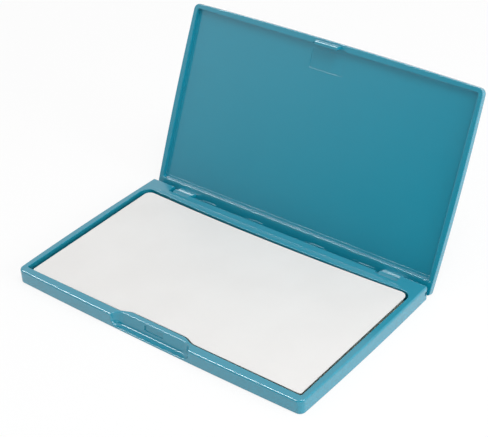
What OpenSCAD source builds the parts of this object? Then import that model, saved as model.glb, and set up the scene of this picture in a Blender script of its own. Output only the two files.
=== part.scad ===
// Pocket wet palette: a slim hinged case whose tray holds a damp sponge under a sheet of palette paper.
// Millimetres. +Z is up, X runs along the hinge, the front (latch side) faces -Y.
// The origin is the middle of the tray's underside, and the lid is drawn standing open on its stop.

/* [Case] */
// Width of the closed case, at the middle of its bowed sides
case_w = 110; // [106:1:130]
// Depth of the closed case, front to back
case_d = 65; // [62:1:75]
// Height of the tray
tray_h = 4.8; // [4.6:0.1:6]
// Thickness of the lid
lid_h = 2.6; // [2.5:0.1:3.2]
// How far the front edges bow outwards in the middle
front_bow = 0.6; // [0.2:0.1:1]
// How far the side edges bow outwards in the middle
side_bow = 0.45; // [0.2:0.05:0.8]
// Corner radius at the latch side
front_corner_r = 2; // [1:0.1:3]
// Corner radius at the hinge side
rear_corner_r = 0.8; // [0.4:0.1:1.2]
// Rounding of the case's long outer edges
edge_r = 0.8; // [0.4:0.1:1]
// Rounding of the long edges that the tray stands on
foot_r = 0.25; // [0.1:0.05:0.5]

/* [Pocket] */
// Thickness of the tray's floor
floor_t = 1; // [0.8:0.1:1.4]
// Width of the pocket for the sponge
pocket_w = 105.4; // [102:0.1:105.6]
// Width of the tray's front rail
front_rail = 3.1; // [2.9:0.1:3.4]
// Width of the tray's rear deck at the pocket's corners
rear_deck = 5.9; // [5.8:0.1:6.4]
// How far the deck leans towards the front at the middle
deck_bow = 1.35; // [0.4:0.05:1.6]
// Corner radius of the pocket at the hinge side
pocket_r = 3; // [1:0.5:5]

/* [Sponge and paper] */
// Free space at the left of the paper
gap_left = 2; // [0.8:0.1:2.2]
// Free space at the right of the paper
gap_right = 0.85; // [0.6:0.05:2]
// Free space between the paper and the deck
gap_rear = 0.75; // [0.5:0.05:0.9]
// Free space between the front rail and the paper
gap_front = 0.4; // [0.4:0.05:0.6]
// How much smaller the sponge is than the paper, on each side
sponge_in = 0.5; // [0:0.1:1]
// Thickness of the damp sponge
sponge_t = 3.3; // [2.8:0.1:3.4]
// Thickness of the palette paper
paper_t = 0.2; // [0.15:0.05:0.3]

/* [Lid] */
// Width of the lid's side rims at their middle
lid_rim = 1.9; // [1.6:0.1:2.4]
// Width of the lid's rim at the latch side
lid_front_rim = 2.1; // [1.9:0.1:2.6]
// Width of the flat land along the lid's hinge side
lid_land = 4.6; // [4.2:0.1:5]
// Thickness of the lid's panel
lid_skin = 1; // [0.8:0.1:1.2]
// Air left between the closed lid and the tray
closed_gap = 0.12; // [0.1:0.01:0.2]

/* [Thumb scoop and latch] */
// Half width of the scoop's straight back wall
scoop_half = 11.2; // [9:0.2:13]
// Reach of each rounded end of the scoop
scoop_end = 3.7; // [2:0.1:4.5]
// Depth of the scoop at the top of the tray
scoop_depth = 2.8; // [2.4:0.1:3]
// Height of the lip under the scoop
scoop_lip = 0.8; // [0.6:0.1:1.2]
// Width of the latch tongue
tongue_w = 8.7; // [6:0.1:10]
// Thickness of the latch tongue
tongue_t = 1.1; // [0.8:0.1:1.2]
// How far the tongue hangs below the closed lid's rim
tongue_drop = 2.2; // [1.8:0.1:2.4]

/* [Hinge] */
// Distance of the hinge axis from the case's rear face
axis_in = 1.1; // [1.05:0.05:1.3]
// Height of the hinge axis
axis_z = 2.4; // [2.3:0.05:2.5]
// Opening angle at which the lid stands on its stop
open_deg = 114.3; // [100:0.1:114.3]
// Radius of each steel hinge pin
pin_r = 0.6; // [0.5:0.05:0.6]
// Running clearance of the pin in the lid's knuckle
pin_clear = 0.05; // [0.02:0.01:0.08]
// Outer radius of the lid's knuckles
knuckle_r = 1.6; // [1.4:0.05:1.6]
// Inner end of each knuckle, from the middle of the case
knuckle_in = 37.6; // [30:0.1:40]
// Length of each knuckle
knuckle_len = 7.4; // [5:0.1:8]
// Side clearance of a knuckle in its slot
knuckle_gap = 0.3; // [0.2:0.05:0.4]

/* [Hidden] */

eps = 0.5;                                  // how far cuts run past a face
half_w = case_w / 2;
half_d = case_d / 2;
axis_y = half_d - axis_in;
pocket_front = -half_d + front_rail;
pocket_rear = half_d - rear_deck;
pocket_front_r = 0.6;
bow_steps = 12;                             // straight steps along a bowed edge
corner_steps = 8;                           // straight steps around a corner

// Thumb scoop and catch
scoop_back = -half_d + scoop_depth;         // scoop wall at the tray's top
scoop_foot = scoop_back - 0.9;              // and at its lip
bump_in = 1.4;                              // how far the rail swells behind the scoop
bump_flat = 9.8;
bump_end = 14.6;
corner_drop = 2;                            // corner radius of the scoop's front outline
catch_w = 7.2;
catch_z = [2.2, 4];
catch_depth = 0.4;

// Free space around the paper and around the sponge: left, right, front and rear
paper_gaps = [gap_left, gap_right, gap_front, gap_rear];
sponge_gaps = [for (gap = paper_gaps) gap + sponge_in];
paper_turn = 0.3;                           // the paper lies a little askew

// Rear deck: its back edge, the step behind it and the bead in front of the closed lid's land
deck_back = half_d - 2.2;
step_floor = 2.5;
bead_half = half_w - 7;
bead_y = half_d - 5.3;
bead_w = 1.1;
bead_h = 0.11;

// Knuckle slots
slot_in = knuckle_in - knuckle_gap;
slot_len = knuckle_len + 2 * knuckle_gap;
slot_front = axis_y - knuckle_r - 0.25;
slot_floor = 0.45;
heel = 1.25;                                // the arm's heel, behind the axis
arm_front = 1.9;                            // the arm's reach towards the latch side
arm_room = axis_y - arm_front - 0.3;        // front of the slot's chamfer, which clears the arm

// Pins
pin_end = half_w - side_bow - 0.4;          // the pin's end lies a little inside its hole
bore_start = knuckle_in + 0.8;              // the knuckle's bore is blind at its inner end
pin_start = bore_start + 0.3;

// Lid
lid_z = tray_h + closed_gap;
lid_rear_round = 2.3;
lid_recess_top = lid_z + lid_h - lid_skin;
relief_half = 12;
land_pads = [-34.5, -15, 9.6, 28.6];        // left ends of the low pads on the land
land_pad = [5.7, 0.85, 0.25];
land_pad_y = half_d - 2;
tongue_front = -half_d + 0.7;
tongue_notch = 6.1;

// Points along a bowed edge from a to b, bulging by h towards the side given by n, without the last one
function bowed(a, b, n, h) = [for (i = [0 : bow_steps - 1]) let (t = i / bow_steps)
    a + (b - a) * t + n * h * 4 * t * (1 - t)];
// Points of a corner arc around c from angle a0 to a1
function arc(c, r, a0, a1) = [for (i = [0 : corner_steps]) let (a = a0 + (a1 - a0) * i / corner_steps)
    c + r * [cos(a), sin(a)]];

// Outline of the case: straight at the hinge, bowed at the front and the sides
function case_outline() = let (
        fx = half_w - side_bow, fy = -half_d + front_bow, rf = front_corner_r, rr = rear_corner_r)
    concat(
        bowed([-fx + rf, fy], [fx - rf, fy], [0, -1], front_bow),
        arc([fx - rf, fy + rf], rf, -90, 0),
        bowed([fx, fy + rf], [fx, half_d - rr], [1, 0], side_bow),
        arc([fx - rr, half_d - rr], rr, 0, 90),
        arc([-fx + rr, half_d - rr], rr, 90, 180),
        bowed([-fx, half_d - rr], [-fx, fy + rf], [-1, 0], side_bow),
        arc([-fx + rf, fy + rf], rf, 180, 270));

// Side profile of a slab from z0 to z1, with its four long edges rounded
function slab_profile(z0, z1, r_bottom_rear, r_top_rear, r_bottom, r_top) = concat(
    arc([-half_d + r_bottom, z0 + r_bottom], r_bottom, 180, 270),
    arc([half_d - r_bottom_rear, z0 + r_bottom_rear], r_bottom_rear, 270, 360),
    arc([half_d - r_top_rear, z1 - r_top_rear], r_top_rear, 0, 90),
    arc([-half_d + r_top, z1 - r_top], r_top, 90, 180));

// Swell of the front rail behind the scoop
function bump(x) = let (u = (abs(x) - bump_flat) / (bump_end - bump_flat))
    u <= 0 ? bump_in : u >= 1 ? 0 : bump_in * (1 + cos(180 * u)) / 2;
// Rear edge of the pocket: it leans forwards in the middle
function deck_edge(x, inset) = pocket_rear - inset - deck_bow * (1 - pow(x / (pocket_w / 2), 2));

// Outline of the pocket, or of what lies in it with the free space gaps = [left, right, front, rear]
function pocket_outline(gaps) = let (x0 = -pocket_w / 2 + gaps[0], x1 = pocket_w / 2 - gaps[1],
        f = pocket_front + gaps[2], r = max(pocket_r - gaps[3], 0.5), rf = pocket_front_r,
        a = x1 - r, b = x0 + r)
    concat(
        [[x0, f + rf], [x0 + rf, f]],
        [for (x = [-15 : 0.6 : 15]) [x, f + bump(x)]],
        [[x1 - rf, f], [x1, f + rf]],
        arc([a, deck_edge(a, gaps[3]) - r], r, 0, 90),
        [for (i = [1 : bow_steps - 1]) let (x = a + (b - a) * i / bow_steps) [x, deck_edge(x, gaps[3])]],
        arc([b, deck_edge(b, gaps[3]) - r], r, 90, 180));

// Plan of the scoop: a straight back wall with elliptic ends
function scoop_plan() = concat(
    [[-scoop_half - scoop_end, -half_d - eps]],
    [for (a = [180 : -10 : 90]) [-scoop_half + scoop_end * cos(a), -half_d + scoop_depth * sin(a)]],
    [for (a = [90 : -10 : 0]) [scoop_half + scoop_end * cos(a), -half_d + scoop_depth * sin(a)]],
    [[scoop_half + scoop_end, -half_d - eps]]);

// Extrudes a (y, z) profile along X from x0 to x1
module along_x(x0, x1) translate([x0, 0, 0]) rotate([90, 0, 90]) linear_extrude(x1 - x0) children();
// Extrudes an (x, z) profile along Y from y0 to y1
module along_y(y0, y1) translate([0, y1, 0]) rotate([90, 0, 0]) linear_extrude(y1 - y0) children();

module slab(z0, z1, profile) intersection() {
    translate([0, 0, z0]) linear_extrude(z1 - z0) polygon(case_outline());
    along_x(-half_w - eps, half_w + eps) polygon(profile);
}

// The scoop's cut: its plan, its leaning back wall and its front outline together
module scoop() intersection() {
    translate([0, 0, scoop_lip]) linear_extrude(tray_h) polygon(scoop_plan());
    along_x(-half_w, half_w) polygon([[-half_d - eps, scoop_lip], [scoop_foot, scoop_lip],
        [scoop_back, tray_h], [scoop_back, tray_h + eps], [-half_d - eps, tray_h + eps]]);
    along_y(-half_d - eps, 0) scoop_front();
}

module scoop_front() {
    end = scoop_half + scoop_end;
    r = corner_drop;
    polygon(concat(
        [[end, tray_h + eps], [-end, tray_h + eps]],
        arc([-end + r, scoop_lip + r], r, 180, 270),
        arc([end - r, scoop_lip + r], r, 270, 360)));
}

// The catch: a shallow recess in the leaning wall, where the tongue's bead sits
module catch_recess() let (
        lean = (scoop_back - scoop_foot) / (tray_h - scoop_lip),
        back = [for (z = catch_z) scoop_foot + (z - scoop_lip) * lean + catch_depth])
    along_x(-catch_w / 2, catch_w / 2) polygon([[-half_d, catch_z[0]], [back[0], catch_z[0]],
        [back[1], catch_z[1]], [-half_d, catch_z[1]]]);

// Everything taken out of the deck at one knuckle, on the +X side
module knuckle_slot() {
    along_x(slot_in, slot_in + slot_len) polygon([[slot_front, slot_floor], [half_d + 1, slot_floor],
        [half_d + 1, tray_h + eps], [arm_room, tray_h + eps], [arm_room, tray_h - 0.1],
        [slot_front, tray_h - 1.25]]);
    translate([slot_in + slot_len - eps, axis_y, axis_z]) rotate([0, 90, 0])
        cylinder(r = pin_r, h = half_w - slot_in - slot_len + 2 * eps, $fn = 64);
}

// The step down behind the deck, between the two knuckle slots
module deck_step() along_x(-slot_in - 0.1, slot_in + 0.1) polygon([[deck_back, step_floor],
    [half_d + eps, step_floor], [half_d + eps, tray_h + eps], [deck_back, tray_h + eps]]);

// The low rounded bead along the deck, just in front of the closed lid's land
module bead() along_x(-bead_half, bead_half) polygon(concat(
    [[bead_y + bead_w / 2, tray_h - 0.2], [bead_y - bead_w / 2, tray_h - 0.2]],
    [for (i = [-5 : 5]) let (u = i / 5) [bead_y + u * bead_w / 2, tray_h + bead_h * (1 - u * u)]]));

module base_tray() color("#3b97ab") difference() {
    union() {
        slab(0, tray_h, slab_profile(0, tray_h, foot_r, edge_r, foot_r, edge_r));
        bead();
    }
    translate([0, 0, floor_t]) linear_extrude(tray_h) polygon(pocket_outline([0, 0, 0, 0]));
    scoop();
    catch_recess();
    deck_step();
    for (side = [0, 1]) mirror([side, 0, 0]) knuckle_slot();
}

// Turns what is drawn in the closed position back to where it stands when the lid is open
module opened() translate([0, axis_y, axis_z]) rotate([-open_deg, 0, 0])
    translate([0, -axis_y, -axis_z]) children();

// One knuckle of the closed lid with its arm, on the +X side
module knuckle() difference() {
    along_x(knuckle_in, knuckle_in + knuckle_len) {
        translate([axis_y, axis_z]) circle(r = knuckle_r, $fn = 64);
        polygon([[axis_y + heel, axis_z], [axis_y + heel, lid_z + 0.3], [axis_y - arm_front, lid_z + 0.3],
            [axis_y - arm_front, tray_h + 0.02], [axis_y - knuckle_r, tray_h - 0.9],
            [axis_y - knuckle_r, axis_z]]);
    }
    translate([bore_start, axis_y, axis_z]) rotate([0, 90, 0])
        cylinder(r = pin_r + pin_clear, h = knuckle_len, $fn = 64);
}

// The latch tongue, with a low bead along its back that snaps into the catch
module tongue() let (tip = lid_z - tongue_drop, back = tongue_front + tongue_t)
    along_x(-tongue_w / 2, tongue_w / 2) polygon([[tongue_front, lid_z + lid_h / 2],
        [tongue_front, tip + 0.4], [tongue_front + 0.4, tip], [back, tip], [back + 0.35, tip + 0.35],
        [back, tip + 0.8], [back, lid_z + lid_h / 2]]);

module lid() color("#2f8299") opened() {
    difference() {
        slab(lid_z, lid_z + lid_h, slab_profile(lid_z, lid_z + lid_h, 0.2, lid_rear_round, 0.2, edge_r));
        translate([-half_w + lid_rim, -half_d + lid_front_rim, lid_z - eps])
            cube([case_w - 2 * lid_rim, case_d - lid_front_rim - lid_land, lid_recess_top - lid_z + eps]);
        translate([-tongue_notch, -half_d + lid_front_rim - 0.4, lid_z - eps])
            cube([2 * tongue_notch, 1, lid_recess_top - lid_z + eps]);
        translate([-relief_half, -half_d - 1, lid_z + lid_h / 2]) cube([2 * relief_half, 1.3, lid_h]);
    }
    tongue();
    for (x = land_pads) translate([x, land_pad_y, lid_z - land_pad[2]]) cube(land_pad + [0, 0, eps]);
    for (side = [0, 1]) mirror([side, 0, 0]) knuckle();
}

module hinge_pin() translate([pin_start, axis_y, axis_z]) rotate([0, 90, 0])
    cylinder(r = pin_r, h = pin_end - pin_start, $fn = 64);

module hinge_pin_left() color("#b9bcc0") mirror([1, 0, 0]) hinge_pin();
module hinge_pin_right() color("#b9bcc0") hinge_pin();

module sponge() color("#e9e4c8") translate([0, 0, floor_t])
    linear_extrude(sponge_t) polygon(pocket_outline(sponge_gaps));

module palette_paper() color("#eceeef") translate([0, 0, floor_t + sponge_t])
    rotate(paper_turn) linear_extrude(paper_t) polygon(pocket_outline(paper_gaps));

base_tray();
lid();
hinge_pin_left();
hinge_pin_right();
sponge();
palette_paper();
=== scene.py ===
"""Pocket wet palette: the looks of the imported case, its hinge pins, its sponge and its paper."""
from math import atan2, cos, degrees, pi, radians, sin, sqrt

import bmesh
import bpy
from mathutils import Matrix, Vector


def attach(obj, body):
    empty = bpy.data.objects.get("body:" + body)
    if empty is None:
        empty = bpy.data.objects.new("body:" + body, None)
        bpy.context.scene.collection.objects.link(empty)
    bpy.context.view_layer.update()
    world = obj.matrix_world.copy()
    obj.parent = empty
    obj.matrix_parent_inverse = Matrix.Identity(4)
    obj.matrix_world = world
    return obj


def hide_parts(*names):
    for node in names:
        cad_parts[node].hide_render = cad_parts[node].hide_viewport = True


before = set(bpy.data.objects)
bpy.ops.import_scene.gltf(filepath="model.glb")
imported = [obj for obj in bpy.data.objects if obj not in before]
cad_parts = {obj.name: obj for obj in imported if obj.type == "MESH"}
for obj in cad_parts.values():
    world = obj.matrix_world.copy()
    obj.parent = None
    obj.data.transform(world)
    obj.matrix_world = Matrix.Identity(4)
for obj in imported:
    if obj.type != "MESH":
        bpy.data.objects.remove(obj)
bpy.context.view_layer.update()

MM = 0.001

# ---------------------------------------------------------------- the case, in millimetres
# The solids are made from the same named values.
HALF_W, HALF_D = 55.0, 32.5
TRAY_H, LID_H = 4.8, 2.6
FRONT_BOW, SIDE_BOW = 0.6, 0.45
FRONT_CORNER_R, REAR_CORNER_R = 2.0, 0.8
EDGE_R = 0.76                 # rounding of the front and rear edges
SIDE_EDGE = 0.6               # the side edges' share of it
FOOT_R = 0.25                 # rounding of the edges that the tray stands on

FLOOR_T = 1.0
POCKET_HALF_W = 52.7
POCKET_FRONT = -HALF_D + 3.1
POCKET_REAR = HALF_D - 5.9
DECK_BOW = 1.35
POCKET_R, POCKET_FRONT_R = 3.0, 0.6           # corners of the pocket
BUMP_IN, BUMP_FLAT, BUMP_END = 1.4, 9.8, 14.6         # the front rail's swelling behind the scoop

PAPER_GAPS = (2.0, 0.85, 0.4, 0.75)           # free space at the left, right, front and rear
SPONGE_IN, SPONGE_R = 0.5, 0.3                # how much smaller the sponge is all round; its rounding
PAPER_TURN = 0.3              # degrees
SPONGE_T, PAPER_T = 3.3, 0.2
PAPER_SWING, PAPER_LIFT = 0.04, 0.005         # the paper's unevenness, and its space below and above
PAPER_RINGS = 14              # rings in the paper's mesh

SCOOP_HALF, SCOOP_END, SCOOP_DEPTH, SCOOP_LIP = 11.2, 3.7, 2.8, 0.8
SCOOP_LEAN = 0.9
SCOOP_FOOT_R = 0.4            # rounding between the scoop's floor and its wall
CORNER_DROP = 2.0             # the scoop's ends draw in over this height
CATCH_W, CATCH_Z, CATCH_DEPTH = 7.2, (2.2, 4.0), 0.35
CATCH_R, CATCH_SOFT = 0.3, 0.12               # rounding of the catch's corners and of its foot

AXIS_Y, AXIS_Z = 31.4, 2.4
OPEN_DEG = 114.3
PIN_R, PIN_CLEAR = 0.6, 0.05
KNUCKLE_R, KNUCKLE_IN, KNUCKLE_LEN, KNUCKLE_GAP = 1.6, 37.6, 7.4, 0.3
KNUCKLE_OUT = KNUCKLE_IN + KNUCKLE_LEN
KNUCKLE_END_R = 0.5
HEEL, ARM_FRONT = 1.25, 1.9   # reach of the knuckle's arm behind the axis and before it
SLOT_FRONT = AXIS_Y - KNUCKLE_R - 0.25
SLOT_FLOOR = 0.45
ARM_ROOM = AXIS_Y - ARM_FRONT - 0.3
BORE_START = KNUCKLE_IN + 0.8

DECK_BACK, STEP_FLOOR, STEP_R = HALF_D - 2.2, 2.5, 0.4
BEAD_HALF, BEAD_Y, BEAD_W, BEAD_H = 48.0, 27.2, 1.1, 0.11
REAR_CUT_R, DECK_CUT_R, RIM_CUT_R, SCOOP_CUT_R = 0.16, 0.14, 0.25, 0.32   # rounding of the tray's cut edges

LID_Z = TRAY_H + 0.12
LID_TOP = LID_Z + LID_H
LID_RIM, LID_FRONT_RIM, LID_LAND, LID_SKIN = 1.9, 2.1, 4.6, 1.0
LID_CUT_R, LID_FOOT_R = 0.2, 0.25             # rounding of the recess's edge and of the lid's lower edges
LID_REAR_R, REAR_SLACK = 2.3, 0.03            # rounding of the lid's rear edge, drawn in a little
RECESS_TOP = LID_TOP - LID_SKIN
TONGUE_W, TONGUE_T, TONGUE_DROP = 8.7, 1.1, 2.2
TONGUE_FRONT = -HALF_D + 0.7
TONGUE_NOTCH, RELIEF_HALF = 6.1, 12.0         # half lengths of the notch and of the relief above the scoop
LEDGE = (0.9, 0.12)           # the panel's step beside the land: width, height
LAND_PADS = (-34.5, -15, 9.6, 28.6)           # left ends of the low pads on the land
LAND_PAD, LAND_PAD_Y = (5.7, 0.85, 0.25), HALF_D - 2.0               # their length, width, height; place
WITNESS = (-6.6, 6.2, -29.0, -22.5)           # shallow mould mark in the lid's panel: x, x, y, y
WITNESS_DEPTH, WITNESS_R = 0.12, 0.11
PAST = 1.0                    # how far a cutter runs past the surface

# ---------------------------------------------------------------- camera
IMAGE_W, IMAGE_H = 488, 437
CAM_AZIMUTH = 38.5            # degrees round from the front, towards +X
CAM_ELEVATION = 34.9
CAM_ROLL = -2.28
CAM_DISTANCE = 424.96 * MM
CAM_TARGET = Vector((0.75, 25.85, 0)) * MM
FOCAL_PX = 1331.85
AXIS_PX = (272.2, 251.1)      # where the camera's axis meets the image
SENSOR_MM = 36.0


def add_camera():
    a, e, r = radians(CAM_AZIMUTH), radians(CAM_ELEVATION), radians(CAM_ROLL)
    back = Vector((sin(a) * cos(e), -cos(a) * cos(e), sin(e)))
    right = Vector((cos(a), sin(a), 0))
    up = back.cross(right)
    right, up = right * cos(r) + up * sin(r), up * cos(r) - right * sin(r)
    data = bpy.data.cameras.new("camera")
    data.sensor_width = SENSOR_MM
    data.lens = FOCAL_PX / IMAGE_W * SENSOR_MM
    data.shift_x = (IMAGE_W / 2 - AXIS_PX[0]) / IMAGE_W
    data.shift_y = (AXIS_PX[1] - IMAGE_H / 2) / IMAGE_W
    data.clip_start = 0.01
    camera = bpy.data.objects.new("camera", data)
    turn = Matrix((right, up, back)).transposed().to_4x4()
    camera.matrix_world = Matrix.Translation(CAM_TARGET + back * CAM_DISTANCE) @ turn
    bpy.context.scene.collection.objects.link(camera)
    bpy.context.scene.camera = camera


# ---------------------------------------------------------------- outlines (x, y), counter-clockwise
def bowed(a, b, out, h, steps=12):
    """Points from a to b, without b, bulging by h in the direction out."""
    a, b, out = Vector(a), Vector(b), Vector(out)
    return [a + (b - a) * t + out * h * 4 * t * (1 - t) for t in (i / steps for i in range(steps))]


def arc(x, y, r, a0, a1, steps=8):
    angles = [radians(a0 + (a1 - a0) * i / steps) for i in range(steps + 1)]
    return [Vector((x + r * cos(a), y + r * sin(a))) for a in angles]


def case_outline():
    fx, fy, rf, rr = HALF_W - SIDE_BOW, -HALF_D + FRONT_BOW, FRONT_CORNER_R, REAR_CORNER_R
    return (bowed((-fx + rf, fy), (fx - rf, fy), (0, -1), FRONT_BOW)
            + arc(fx - rf, fy + rf, rf, -90, 0)
            + bowed((fx, fy + rf), (fx, HALF_D - rr), (1, 0), SIDE_BOW)[1:]
            + arc(fx - rr, HALF_D - rr, rr, 0, 90)
            + arc(-fx + rr, HALF_D - rr, rr, 90, 180)
            + bowed((-fx, HALF_D - rr), (-fx, fy + rf), (-1, 0), SIDE_BOW)[1:]
            + arc(-fx + rf, fy + rf, rf, 180, 270)[:-1])


def bump(x):
    """How far the front rail swells behind the scoop."""
    u = (abs(x) - BUMP_FLAT) / (BUMP_END - BUMP_FLAT)
    return BUMP_IN if u <= 0 else 0 if u >= 1 else BUMP_IN * (1 + cos(pi * u)) / 2


def deck_edge(x, gap):
    """Rear edge of the pocket, which leans forwards in the middle."""
    return POCKET_REAR - gap - DECK_BOW * (1 - (x / POCKET_HALF_W) ** 2)


def pocket_outline(gaps=(0, 0, 0, 0), steps=28):
    """The pocket, or what lies in it when gaps are the free spaces around it."""
    left, right, front, rear = gaps
    x0, x1, f = -POCKET_HALF_W + left, POCKET_HALF_W - right, POCKET_FRONT + front
    r, rf = POCKET_R - rear, POCKET_FRONT_R
    a, b = x1 - r, x0 + r
    xs = [a + (b - a) * i / steps for i in range(1, steps)]
    return (arc(x0 + rf, f + rf, rf, 180, 270, 5)
            + [Vector((x * 0.8, f + bump(x * 0.8))) for x in range(-19, 20)]
            + arc(x1 - rf, f + rf, rf, 270, 360, 5)
            + arc(a, deck_edge(a, rear) - r, r, 0, 90)
            + [Vector((x, deck_edge(x, rear))) for x in xs]
            + arc(b, deck_edge(b, rear) - r, r, 90, 180))


def rectangle(x0, x1, y0, y1, r=0.0):
    if not r:
        return [Vector(p) for p in ((x0, y0), (x1, y0), (x1, y1), (x0, y1))]
    return (arc(x1 - r, y0 + r, r, -90, 0, 5) + arc(x1 - r, y1 - r, r, 0, 90, 5)
            + arc(x0 + r, y1 - r, r, 90, 180, 5) + arc(x0 + r, y0 + r, r, 180, 270, 5))


def inset(outline, d):
    """The outline moved inwards by d."""
    out = []
    for i, p in enumerate(outline):
        before, after = (p - outline[i - 1]).normalized(), (outline[(i + 1) % len(outline)] - p).normalized()
        n0, n1 = Vector((-before.y, before.x)), Vector((-after.y, after.x))
        out.append(p + (n0 + n1) * d / (1 + n0.dot(n1)))
    return out


# ---------------------------------------------------------------- solids
# Angles between two faces: taken as one flat face, rounded as a cut edge, shaded as an edge.
FLAT, CUT_EDGE, SHARP = radians(0.03), radians(28), radians(34)


def loft(name, rings):
    """A closed solid through rings of points, with flat ends."""
    bm = bmesh.new()
    rows = [[bm.verts.new(p) for p in ring] for ring in rings]
    count = len(rings[0])
    for low, high in zip(rows, rows[1:]):
        for i in range(count):
            j = (i + 1) % count
            bm.faces.new((low[i], low[j], high[j], high[i]))
    bm.faces.new(rows[0][::-1])
    bm.faces.new(rows[-1])
    bmesh.ops.recalc_face_normals(bm, faces=bm.faces)
    mesh = bpy.data.meshes.new(name)
    bm.to_mesh(mesh)
    bm.free()
    obj = bpy.data.objects.new(name, mesh)
    bpy.context.scene.collection.objects.link(obj)
    return obj


def round_levels(low, high, r_low, r_high, steps=5):
    """(height, inset) pairs from low to high, rounded at both ends."""
    turns = [pi / 2 * i / steps for i in range(steps + 1)]
    start = [(low + r_low * (1 - cos(t)), r_low * (1 - sin(t))) for t in turns] if r_low else [(low, 0)]
    end = [(high - r_high * (1 - sin(t)), r_high * (1 - cos(t))) for t in turns] if r_high else [(high, 0)]
    return start + end


def slab(name, outline, z0, z1, r_low=0.0, r_high=0.0):
    """An (x, y) outline run up Z, with its lower and upper edges rounded."""
    levels = round_levels(z0, z1, r_low, r_high)
    return loft(name, [[(p.x, p.y, z) for p in inset(outline, d)] for z, d in levels])


def bar(name, profile, x0, x1, r=0.0):
    """A (y, z) profile run along X, with its two ends rounded."""
    return loft(name, [[(x, p.x, p.y) for p in inset(profile, d)] for x, d in round_levels(x0, x1, r, r, 3)])


def case_slab(name, z0, z1, r_low, r_high, rear_r=0.0):
    """The outer form of the tray or of the lid, with its rear edge rounded more where rear_r is given."""
    levels = round_levels(z0, z1, r_low, r_high)
    rear_start = z1 - rear_r
    if rear_r:
        extra = [(rear_start + rear_r * i / 10, 0) for i in range(8)]
        levels = sorted(levels + [e for e in extra if z0 + r_low < e[0] < z1 - r_high])
    rings = []
    for z, d in levels:
        widen = (HALF_W - SIDE_EDGE * d) / (HALF_W - d)
        reach = HALF_D
        if rear_r and z > rear_start:
            reach = HALF_D - REAR_SLACK - rear_r + sqrt(max(rear_r ** 2 - (z - rear_start) ** 2, 0))
        rings.append([(p.x * widen, min(p.y, reach), z) for p in inset(case_outline(), d)])
    return loft(name, rings)


def apply_modifiers(obj):
    graph = bpy.context.evaluated_depsgraph_get()
    mesh = bpy.data.meshes.new_from_object(obj.evaluated_get(graph))
    obj.modifiers.clear()
    old, obj.data = obj.data, mesh
    bpy.data.meshes.remove(old)


def combine(obj, other, operation):
    mod = obj.modifiers.new("boolean", "BOOLEAN")
    mod.solver, mod.operation, mod.object = "EXACT", operation, other
    apply_modifiers(obj)
    bpy.data.objects.remove(other)


def cut(obj, *others):
    for other in others:
        combine(obj, other, "DIFFERENCE")


def join(obj, *others):
    for other in others:
        combine(obj, other, "UNION")


def tidy_mesh(obj):
    """Joins the flat faces that the booleans left in pieces."""
    bm = bmesh.new()
    bm.from_mesh(obj.data)
    bmesh.ops.remove_doubles(bm, verts=bm.verts, dist=0.001)
    bmesh.ops.dissolve_limit(bm, angle_limit=FLAT, verts=bm.verts, edges=bm.edges)
    bmesh.ops.dissolve_degenerate(bm, edges=bm.edges, dist=0.002)
    bm.to_mesh(obj.data)
    bm.free()


def round_edges(obj, width_of, segments=4):
    """Rounds the outward sharp edges: width_of gives the width for an edge's middle, or 0."""
    bm = bmesh.new()
    bm.from_mesh(obj.data)
    widths = []
    for edge in bm.edges:
        sharp = len(edge.link_faces) == 2 and edge.is_convex and edge.calc_face_angle() > CUT_EDGE
        middle = (edge.verts[0].co + edge.verts[1].co) / 2
        widths.append(width_of(middle) if sharp else 0.0)
    bm.free()
    most = max(widths)
    weights = obj.data.attributes.new("bevel_weight_edge", "FLOAT", "EDGE")
    for item, width in zip(weights.data, widths):
        item.value = width / most
    mod = obj.modifiers.new("bevel", "BEVEL")
    mod.limit_method, mod.width, mod.segments = "WEIGHT", most, segments
    mod.use_clamp_overlap = False
    mod.miter_outer = "MITER_SHARP"
    apply_modifiers(obj)


def finish_piece(obj, body, material, turn=None, crease=None):
    """Into metres and place, smooth with flat faces kept flat, on its body and with its material."""
    mesh = obj.data
    mesh.polygons.foreach_set("use_smooth", [True] * len(mesh.polygons))
    mesh.set_sharp_from_angle(angle=SHARP)
    if crease:
        for edge in mesh.edges:
            if crease(*(mesh.vertices[i].co for i in edge.vertices)):
                edge.use_edge_sharp = True
    if turn:
        mesh.transform(turn)
    mesh.transform(Matrix.Scale(MM, 4))
    mod = obj.modifiers.new("normals", "WEIGHTED_NORMAL")
    mod.keep_sharp, mod.weight = True, 50
    apply_modifiers(obj)
    obj.data.materials.clear()
    obj.data.materials.append(material)
    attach(obj, body)
    return obj


# ---------------------------------------------------------------- tray
def scoop_cutter():
    """The thumb scoop: one plan with rounded ends, carried up a leaning back wall from a rounded floor."""
    wall_h = TRAY_H - SCOOP_LIP
    rises = (0, 0.02, 0.06, 0.12, 0.2, 0.3, SCOOP_FOOT_R, 0.6, 0.85, 1.15, 1.5, 1.8, CORNER_DROP, 2.6, 3.3,
             wall_h, wall_h + PAST)
    turns = [radians(a) for a in range(0, 91, 9)]
    rings = []
    for rise in rises:
        low, foot = max(CORNER_DROP - rise, 0), max(SCOOP_FOOT_R - rise, 0)
        width = SCOOP_HALF + SCOOP_END - (CORNER_DROP - sqrt(CORNER_DROP ** 2 - low ** 2))
        lean = SCOOP_LEAN * min(rise / wall_h, 1)
        depth = SCOOP_DEPTH - SCOOP_LEAN + lean - (SCOOP_FOOT_R - sqrt(SCOOP_FOOT_R ** 2 - foot ** 2))
        right = [Vector((width, -HALF_D - PAST))]
        right += [Vector((width - SCOOP_END * (1 - cos(t)), -HALF_D + depth * sin(t))) for t in turns]
        plan = right + [Vector((-p.x, p.y)) for p in right[::-1]]
        rings.append([(p.x, p.y, SCOOP_LIP + rise) for p in plan])
    return loft("scoop", rings)


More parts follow.
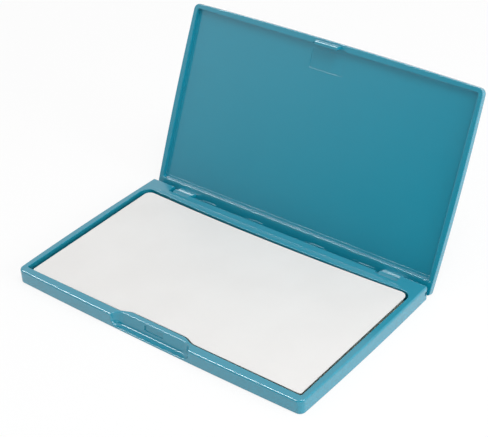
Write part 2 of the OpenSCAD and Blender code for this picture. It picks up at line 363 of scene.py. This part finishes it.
def catch_cutter():
    """The shallow catch in the scoop's leaning wall."""
    def wall(z):
        return -HALF_D + SCOOP_DEPTH - SCOOP_LEAN * (TRAY_H - z) / (TRAY_H - SCOOP_LIP)

    steps = ((-PAST / 2, 0), (CATCH_DEPTH - CATCH_SOFT, 0), (CATCH_DEPTH - CATCH_SOFT / 4, CATCH_SOFT / 3),
             (CATCH_DEPTH, CATCH_SOFT))
    rings = []
    for reach, shrink in steps:
        outline = inset(rectangle(-CATCH_W / 2, CATCH_W / 2, *CATCH_Z, CATCH_R), shrink)
        rings.append([(p.x, wall(p.y) + reach, p.y) for p in outline])
    return loft("catch", rings)


def step_cutter():
    """The step down behind the deck, between the two knuckle slots."""
    end = KNUCKLE_IN - KNUCKLE_GAP + 0.1
    profile = ([Vector((DECK_BACK, TRAY_H + PAST))]
               + arc(DECK_BACK + STEP_R, STEP_FLOOR + STEP_R, STEP_R, 180, 270, 4)
               + [Vector((HALF_D + PAST, STEP_FLOOR)), Vector((HALF_D + PAST, TRAY_H + PAST))])
    return bar("step", profile, -end, end)


def bead():
    """The low rounded bead along the deck, in front of the closed lid's land."""
    root = TRAY_H - 0.2
    low = [Vector((BEAD_Y + BEAD_W / 2, root)), Vector((BEAD_Y - BEAD_W / 2, root))]
    shares = [i / 8 for i in range(-8, 9)]
    top = [Vector((BEAD_Y + u * BEAD_W / 2, TRAY_H + BEAD_H * (1 - u * u))) for u in shares]
    return bar("bead", (low + top)[::-1], -BEAD_HALF, BEAD_HALF)


def slot_cutter(side):
    """Room for a knuckle and its arm."""
    profile = [Vector(p) for p in (
        (SLOT_FRONT, SLOT_FLOOR), (HALF_D + PAST, SLOT_FLOOR), (HALF_D + PAST, TRAY_H + PAST),
        (ARM_ROOM, TRAY_H + PAST), (ARM_ROOM, TRAY_H - 0.1), (SLOT_FRONT, TRAY_H - 1.25))]
    ends = sorted((side * (KNUCKLE_IN - KNUCKLE_GAP), side * (KNUCKLE_OUT + KNUCKLE_GAP)))
    return bar("slot", profile, *ends)


def pin_cutter(side, r, x0, x1):
    """A round hole along the hinge's axis."""
    return bar("pin_hole", arc(AXIS_Y, AXIS_Z, r, 0, 360, 32)[:-1], *sorted((side * x0, side * x1)))


def tray_edge(middle):
    """Rounding of the tray's cut edges."""
    x, y, z = middle
    near_top = z > TRAY_H - 0.1
    along_scoop = abs(x) < SCOOP_HALF + SCOOP_END + 0.5
    if y > deck_edge(x, 0) + 0.3 and z > STEP_FLOOR + 0.2:
        on_bead = z > TRAY_H + 0.001 or abs(y - BEAD_Y) < BEAD_W / 2 + 0.01
        return 0.0 if on_bead else REAR_CUT_R
    if near_top and y > deck_edge(x, 0) - 0.5 and abs(x) < POCKET_HALF_W - 1:
        return DECK_CUT_R
    if near_top:
        return SCOOP_CUT_R if along_scoop and y < -HALF_D + SCOOP_DEPTH + 0.4 else RIM_CUT_R
    if along_scoop and y < -HALF_D + 1 and z > SCOOP_LIP - 0.4:
        return RIM_CUT_R
    return 0.0


def bead_foot(a, b):
    """The low bead's foot stays a crease, so that the deck beside it stays flat."""
    return all(abs(p.z - TRAY_H) < 0.002 and abs(abs(p.y - BEAD_Y) - BEAD_W / 2) < 0.002 for p in (a, b))


def make_tray(material):
    tray = case_slab("wet_palette_tray", 0, TRAY_H, FOOT_R, EDGE_R)
    cut(tray, slab("pocket", pocket_outline(), FLOOR_T, TRAY_H + PAST, 0.4), scoop_cutter(), step_cutter())
    for side in (-1, 1):
        cut(tray, slot_cutter(side), pin_cutter(side, PIN_R + 0.02, KNUCKLE_OUT + 0.1, HALF_W + PAST))
    join(tray, bead())
    tidy_mesh(tray)
    round_edges(tray, tray_edge)
    cut(tray, catch_cutter())
    finish_piece(tray, "tray", material, crease=bead_foot)
    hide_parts("base_tray")


# ---------------------------------------------------------------- lid, drawn closed and then turned open
def knuckle(side):
    """A knuckle with the arm that joins it to the lid."""
    root = LID_Z + 0.5
    drop = degrees(atan2(sqrt(KNUCKLE_R ** 2 - HEEL ** 2), HEEL))
    barrel = arc(AXIS_Y, AXIS_Z, KNUCKLE_R, drop, -180, 20)
    arm = [Vector(p) for p in (
        (AXIS_Y - KNUCKLE_R, TRAY_H - 0.9), (AXIS_Y - ARM_FRONT, TRAY_H + 0.02), (AXIS_Y - ARM_FRONT, root),
        (AXIS_Y + HEEL, root))]
    ends = sorted((side * KNUCKLE_IN, side * KNUCKLE_OUT))
    return bar("knuckle", (barrel + arm)[::-1], *ends, KNUCKLE_END_R)


def tongue():
    """The latch tongue, with a low bead along its back."""
    root, tip, back = LID_Z + 1, LID_Z - TONGUE_DROP, TONGUE_FRONT + TONGUE_T
    profile = [Vector(p) for p in (
        (TONGUE_FRONT, root), (TONGUE_FRONT, tip + 0.45), (TONGUE_FRONT + 0.14, tip + 0.2),
        (TONGUE_FRONT + 0.45, tip), (back, tip), (back + 0.25, tip + 0.15), (back + 0.35, tip + 0.35),
        (back + 0.25, tip + 0.6), (back, tip + 0.85), (back, root))]
    return bar("tongue", profile, -TONGUE_W / 2, TONGUE_W / 2, 0.3)


def lid_cutters():
    """The recess with its panel, the notch for the tongue's root and the relief above the scoop."""
    side, front, rear = HALF_W - LID_RIM, -HALF_D + LID_FRONT_RIM, HALF_D - LID_LAND
    step_in = 0.4
    recess = rectangle(-side, side, front, rear, 0.7)
    panel = rectangle(-side + step_in, side - step_in, front + step_in, rear - LEDGE[0], 0.5)
    notch = rectangle(-TONGUE_NOTCH, TONGUE_NOTCH, front - 0.4, front + 1, 0.3)
    relief = rectangle(-RELIEF_HALF, RELIEF_HALF, -HALF_D - PAST, -HALF_D + 0.3, 0.25)
    return (slab("recess", recess, LID_Z - PAST, RECESS_TOP - LEDGE[1], 0, 0.03),
            slab("panel", panel, LID_Z - PAST, RECESS_TOP, 0, 0.1),
            slab("notch", notch, LID_Z - PAST, RECESS_TOP - 0.15, 0, 0.2),
            slab("relief", relief, LID_Z + LID_H / 2, LID_TOP + PAST, 0.2))


def witness_cutter():
    outline = rectangle(*WITNESS, 0.4)
    return slab("witness", outline, RECESS_TOP - 0.3, RECESS_TOP + WITNESS_DEPTH, 0, WITNESS_R)


def land_pad(x):
    """One of the low pads on the land, from x to the right."""
    length, width, height = LAND_PAD
    outline = rectangle(x, x + length, LAND_PAD_Y, LAND_PAD_Y + width, 0.2)
    return slab("land_pad", outline, LID_Z - height, LID_Z + 0.5, 0.1)


def lid_edge(middle):
    """Rounding of the recess's edge."""
    around_recess = -HALF_D + 1.2 < middle.y < HALF_D - LID_LAND + 1
    return LID_CUT_R if around_recess and middle.z < LID_Z + 0.1 else 0.0


def opening():
    """Turns the lid from closed to open about the hinge's axis."""
    axis = Vector((0, AXIS_Y, AXIS_Z))
    return Matrix.Translation(axis) @ Matrix.Rotation(radians(-OPEN_DEG), 4, "X") @ Matrix.Translation(-axis)


def make_lid(material):
    lid = case_slab("wet_palette_lid", LID_Z, LID_TOP, LID_FOOT_R, EDGE_R, LID_REAR_R)
    cut(lid, *lid_cutters())
    tidy_mesh(lid)
    round_edges(lid, lid_edge)
    cut(lid, witness_cutter())
    join(lid, *(land_pad(x) for x in LAND_PADS))
    join(lid, tongue(), knuckle(-1), knuckle(1))
    cut(lid, *(pin_cutter(side, PIN_R + PIN_CLEAR, BORE_START, KNUCKLE_OUT + 0.2) for side in (-1, 1)))
    finish_piece(lid, "lid", material, opening())
    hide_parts("lid")


# ---------------------------------------------------------------- sponge and paper
def wave(x, y):
    """The slight unevenness of a damp sheet, from 0 to 1."""
    return 0.5 + 0.22 * sin(x / 11 + y / 23) + 0.18 * sin(y / 9 - x / 31 + 1.3) + 0.1 * sin(x / 5.2 + 2)


def make_sponge(material):
    outline = pocket_outline([gap + SPONGE_IN for gap in PAPER_GAPS])
    sponge = slab("hydration_sponge", outline, FLOOR_T, FLOOR_T + SPONGE_T, SPONGE_R, SPONGE_R)
    finish_piece(sponge, "tray", material)
    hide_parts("sponge")


def make_paper(material):
    straight = pocket_outline(PAPER_GAPS)
    turn = Matrix.Rotation(radians(PAPER_TURN), 2)
    outline = [turn @ p for p in straight]
    low, thick = FLOOR_T + SPONGE_T + PAPER_LIFT, PAPER_T - PAPER_SWING - 2 * PAPER_LIFT
    middle = Vector((0, (POCKET_FRONT + POCKET_REAR) / 2))
    shares = [i / PAPER_RINGS for i in range(1, PAPER_RINGS + 1)]

    def ring(share, lift):
        points = [middle + (p - middle) * share for p in outline]
        return [(p.x, p.y, low + lift + PAPER_SWING * wave(p.x, p.y)) for p in points]

    paper = loft("palette_paper_sheet", [ring(s, 0) for s in shares] + [ring(s, thick) for s in shares[::-1]])
    finish_piece(paper, "tray", material)
    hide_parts("palette_paper")


# ---------------------------------------------------------------- materials
TEAL_DEEP, TEAL_PALE = (0.003, 0.236, 0.340), (0.005, 0.244, 0.348)
STEEL_DARK, STEEL_PALE = (0.50, 0.51, 0.53), (0.70, 0.71, 0.73)
# The first foam colour is painted shade for the pores; the second is the foam's own pale colour.
PORE_SHADE, FOAM = (0.34, 0.31, 0.20), (0.84, 0.80, 0.64)
PAPER_DULL, PAPER_WHITE = (0.765, 0.750, 0.735), (0.795, 0.782, 0.768)
PLASTIC_IOR = 1.5
FINE = 0.02 * MM              # height of a fine grain


class Nodes:
    """A material's node tree, with short calls for adding and linking nodes."""

    def __init__(self, name):
        self.material = bpy.data.materials.new(name)
        self.material.use_nodes = True
        self.tree = self.material.node_tree
        self.shader = self.tree.nodes["Principled BSDF"]
        self.place = self.add("ShaderNodeTexCoord").outputs["Object"]

    def add(self, kind, **settings):
        node = self.tree.nodes.new(kind)
        for key, value in settings.items():
            setattr(node, key, value)
        return node

    def link(self, source, target):
        self.tree.links.new(source, target)

    def noise(self, scale, detail=3.0, roughness=0.5, stretch=None):
        node = self.add("ShaderNodeTexNoise")
        node.inputs["Scale"].default_value = scale
        node.inputs["Detail"].default_value = detail
        node.inputs["Roughness"].default_value = roughness
        place = self.place
        if stretch:
            mapping = self.add("ShaderNodeMapping")
            mapping.inputs["Scale"].default_value = stretch
            self.link(self.place, mapping.inputs["Vector"])
            place = mapping.outputs["Vector"]
        self.link(place, node.inputs["Vector"])
        return node.outputs["Fac"]

    def spread(self, value, low, high, start=0.2, stop=0.8):
        node = self.add("ShaderNodeMapRange", interpolation_type="SMOOTHSTEP")
        for key, number in (("From Min", start), ("From Max", stop), ("To Min", low), ("To Max", high)):
            node.inputs[key].default_value = number
        self.link(value, node.inputs["Value"])
        return node.outputs["Result"]

    def mix(self, value, first, second):
        node = self.add("ShaderNodeMix", data_type="RGBA")
        self.link(value, node.inputs["Factor"])
        node.inputs["A"].default_value = (*first, 1)
        node.inputs["B"].default_value = (*second, 1)
        return node.outputs["Result"]

    def bump(self, value, strength, distance, onto=None):
        node = self.add("ShaderNodeBump")
        node.inputs["Strength"].default_value = strength
        node.inputs["Distance"].default_value = distance
        self.link(value, node.inputs["Height"])
        if onto:
            self.link(onto, node.inputs["Normal"])
        return node.outputs["Normal"]


def plastic(name):
    """Satin moulded plastic with a very fine grain."""
    n = Nodes(name)
    colour = n.mix(n.spread(n.noise(scale=28, detail=4), 0, 1), TEAL_DEEP, TEAL_PALE)
    grain = n.bump(n.noise(scale=5200, detail=2), strength=0.04, distance=FINE)
    n.link(colour, n.shader.inputs["Base Color"])
    n.link(n.spread(n.noise(scale=90), 0.17, 0.2), n.shader.inputs["Roughness"])
    n.link(grain, n.shader.inputs["Normal"])
    n.shader.inputs["IOR"].default_value = PLASTIC_IOR
    n.shader.inputs["Coat Weight"].default_value = 0.8
    n.shader.inputs["Coat Roughness"].default_value = 0.17
    n.shader.inputs["Coat IOR"].default_value = PLASTIC_IOR
    return n.material


def steel(name):
    """Drawn wire, streaked along its length."""
    n = Nodes(name)
    streaks = n.noise(scale=900, stretch=(0.08, 1, 1))
    colour = n.mix(n.spread(streaks, 0, 1), STEEL_DARK, STEEL_PALE)
    n.link(colour, n.shader.inputs["Base Color"])
    n.link(n.spread(streaks, 0.22, 0.36), n.shader.inputs["Roughness"])
    n.link(n.bump(streaks, strength=0.1, distance=FINE), n.shader.inputs["Normal"])
    n.shader.inputs["Metallic"].default_value = 1.0
    return n.material


def foam(name):
    """Open-cell foam: pale walls, with painted shade darkening the pores between them."""
    n = Nodes(name)
    cells = n.add("ShaderNodeTexVoronoi", feature="F1")
    cells.inputs["Scale"].default_value = 1500
    n.link(n.place, cells.inputs["Vector"])
    walls = n.spread(cells.outputs["Distance"], 0, 1, start=0.1, stop=0.55)
    # Painted shade in the pores, the foam's pale colour on the walls.
    n.link(n.mix(walls, PORE_SHADE, FOAM), n.shader.inputs["Base Color"])
    n.link(n.bump(walls, strength=0.8, distance=0.2 * MM), n.shader.inputs["Normal"])
    n.shader.inputs["Roughness"].default_value = 0.85
    return n.material


def membrane(name):
    """Smooth white membrane paper with faint clouding and fibre."""
    n = Nodes(name)
    colour = n.mix(n.spread(n.noise(scale=60, detail=5), 0, 1), PAPER_DULL, PAPER_WHITE)
    fibre = n.noise(scale=2600, detail=4, stretch=(1, 0.5, 1))
    n.link(colour, n.shader.inputs["Base Color"])
    n.link(n.spread(n.noise(scale=700), 0.36, 0.46), n.shader.inputs["Roughness"])
    n.link(n.bump(fibre, strength=0.08, distance=FINE), n.shader.inputs["Normal"])
    return n.material


# ---------------------------------------------------------------- stage and light
FLOOR_COLOUR, FLOOR_GLOW = 0.92, 0.84         # glow: the share of plain white where the floor is seen
WORLD_LEVEL = 0.66            # of the light that the room gives
ROOM_FRONT = (0.45, -0.70, -0.55)
ROOM_DIM = 0.02               # the room's light from that side
ROOM_START, ROOM_STOP = 0.08, 0.38            # where the room dims, as the cosine to that side
LAMPS = (                     # name, place, target, length, width, power, whether it only makes highlights
    ("key", (0.56, 0.06, 0.25), (0, 0, 0.02), 0.26, 0.26, 1.5, False),
    ("top", (0.25, -0.04, 0.66), (0, 0, 0), 0.26, 0.26, 1.45, False),
    ("front", (0.30, -0.62, 0.20), (0, 0, 0.02), 0.30, 0.30, 0.3, False),
    ("edge", (-0.36, -0.36, 0.51), (0, 0, 0), 0.40, 0.10, 3.6, True),
)


def math_node(tree, operation, first, second):
    """A maths node's output; first and second are numbers or other nodes' outputs."""
    node = tree.nodes.new("ShaderNodeMath")
    node.operation = operation
    for socket, value in zip(node.inputs, (first, second)):
        if isinstance(value, float):
            socket.default_value = value
        else:
            tree.links.new(value, socket)
    return node.outputs[0]


def floor_material():
    """Plain pale floor that keeps the case's shadow, and is near white where it is seen."""
    material = bpy.data.materials.new("floor")
    material.use_nodes = True
    tree = material.node_tree
    tree.nodes.clear()
    new, link = tree.nodes.new, tree.links.new
    output, mix = new("ShaderNodeOutputMaterial"), new("ShaderNodeMixShader")
    path, lit, bright = new("ShaderNodeLightPath"), new("ShaderNodeBsdfDiffuse"), new("ShaderNodeEmission")
    lit.inputs["Color"].default_value = (FLOOR_COLOUR, FLOOR_COLOUR, FLOOR_COLOUR, 1)
    bright.inputs["Color"].default_value = (1, 1, 1, 1)
    seen = math_node(tree, "MAXIMUM", path.outputs["Is Camera Ray"], path.outputs["Is Glossy Ray"])
    link(math_node(tree, "MULTIPLY", seen, FLOOR_GLOW), mix.inputs["Fac"])
    link(lit.outputs[0], mix.inputs[1])
    link(bright.outputs[0], mix.inputs[2])
    link(mix.outputs[0], output.inputs["Surface"])
    return material


def add_floor():
    bm = bmesh.new()
    bmesh.ops.create_grid(bm, x_segments=1, y_segments=1, size=3.0)
    mesh = bpy.data.meshes.new("floor")
    bm.to_mesh(mesh)
    bm.free()
    floor = bpy.data.objects.new("floor", mesh)
    floor.location = (0, 0, -0.1 * MM)
    bpy.context.scene.collection.objects.link(floor)
    mesh.materials.append(floor_material())


def add_world():
    """White where the camera sees it and even where it lights; what mirrors it sees a dark front."""
    world = bpy.data.worlds.new("world")
    bpy.context.scene.world = world
    world.use_nodes = True
    tree = world.node_tree
    new, link = tree.nodes.new, tree.links.new
    place, path = new("ShaderNodeTexCoord"), new("ShaderNodeLightPath")
    towards, room = new("ShaderNodeVectorMath"), new("ShaderNodeMapRange")
    towards.operation = "DOT_PRODUCT"
    towards.inputs[1].default_value = ROOM_FRONT
    link(place.outputs["Generated"], towards.inputs[0])
    room.interpolation_type = "SMOOTHSTEP"
    steps = (("From Min", ROOM_START), ("From Max", ROOM_STOP), ("To Min", 1.0), ("To Max", ROOM_DIM))
    for key, number in steps:
        room.inputs[key].default_value = number
    link(towards.outputs["Value"], room.inputs["Value"])
    mirrored = math_node(tree, "MAXIMUM", path.outputs["Is Glossy Ray"], path.outputs["Is Transmission Ray"])
    shine = math_node(tree, "SUBTRACT", room.outputs["Result"], WORLD_LEVEL)
    lit = math_node(tree, "ADD", math_node(tree, "MULTIPLY", mirrored, shine), WORLD_LEVEL)
    strength = math_node(tree, "MAXIMUM", lit, path.outputs["Is Camera Ray"])
    link(strength, tree.nodes["Background"].inputs["Strength"])
    tree.nodes["Background"].inputs["Color"].default_value = (1, 1, 1, 1)


def add_lamp(name, place, target, length, width, power, only_shine):
    """A rectangular lamp that faces the target, with its length along X."""
    back = (Vector(place) - Vector(target)).normalized()
    along = (Vector((1, 0, 0)) - back * back.x).normalized()
    data = bpy.data.lights.new(name, "AREA")
    data.shape, data.size, data.size_y, data.energy = "RECTANGLE", length, width, power
    lamp = bpy.data.objects.new(name, data)
    turn = Matrix((along, back.cross(along), back)).transposed().to_4x4()
    lamp.matrix_world = Matrix.Translation(place) @ turn
    lamp.visible_diffuse = not only_shine
    bpy.context.scene.collection.objects.link(lamp)


# ---------------------------------------------------------------- the scene
def dress_pins(material):
    """The solids of the two pins stay, in steel."""
    for pin in ("hinge_pin_left", "hinge_pin_right"):
        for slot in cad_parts[pin].material_slots:
            slot.material = material


add_camera()
add_world()
add_floor()
for lamp in LAMPS:
    add_lamp(*lamp)
teal = plastic("teal_plastic")
make_tray(teal)
make_lid(teal)
make_sponge(foam("hydration_foam"))
make_paper(membrane("membrane_paper"))
dress_pins(steel("pin_steel"))

view = bpy.context.scene.view_settings
view.view_transform = "Standard"
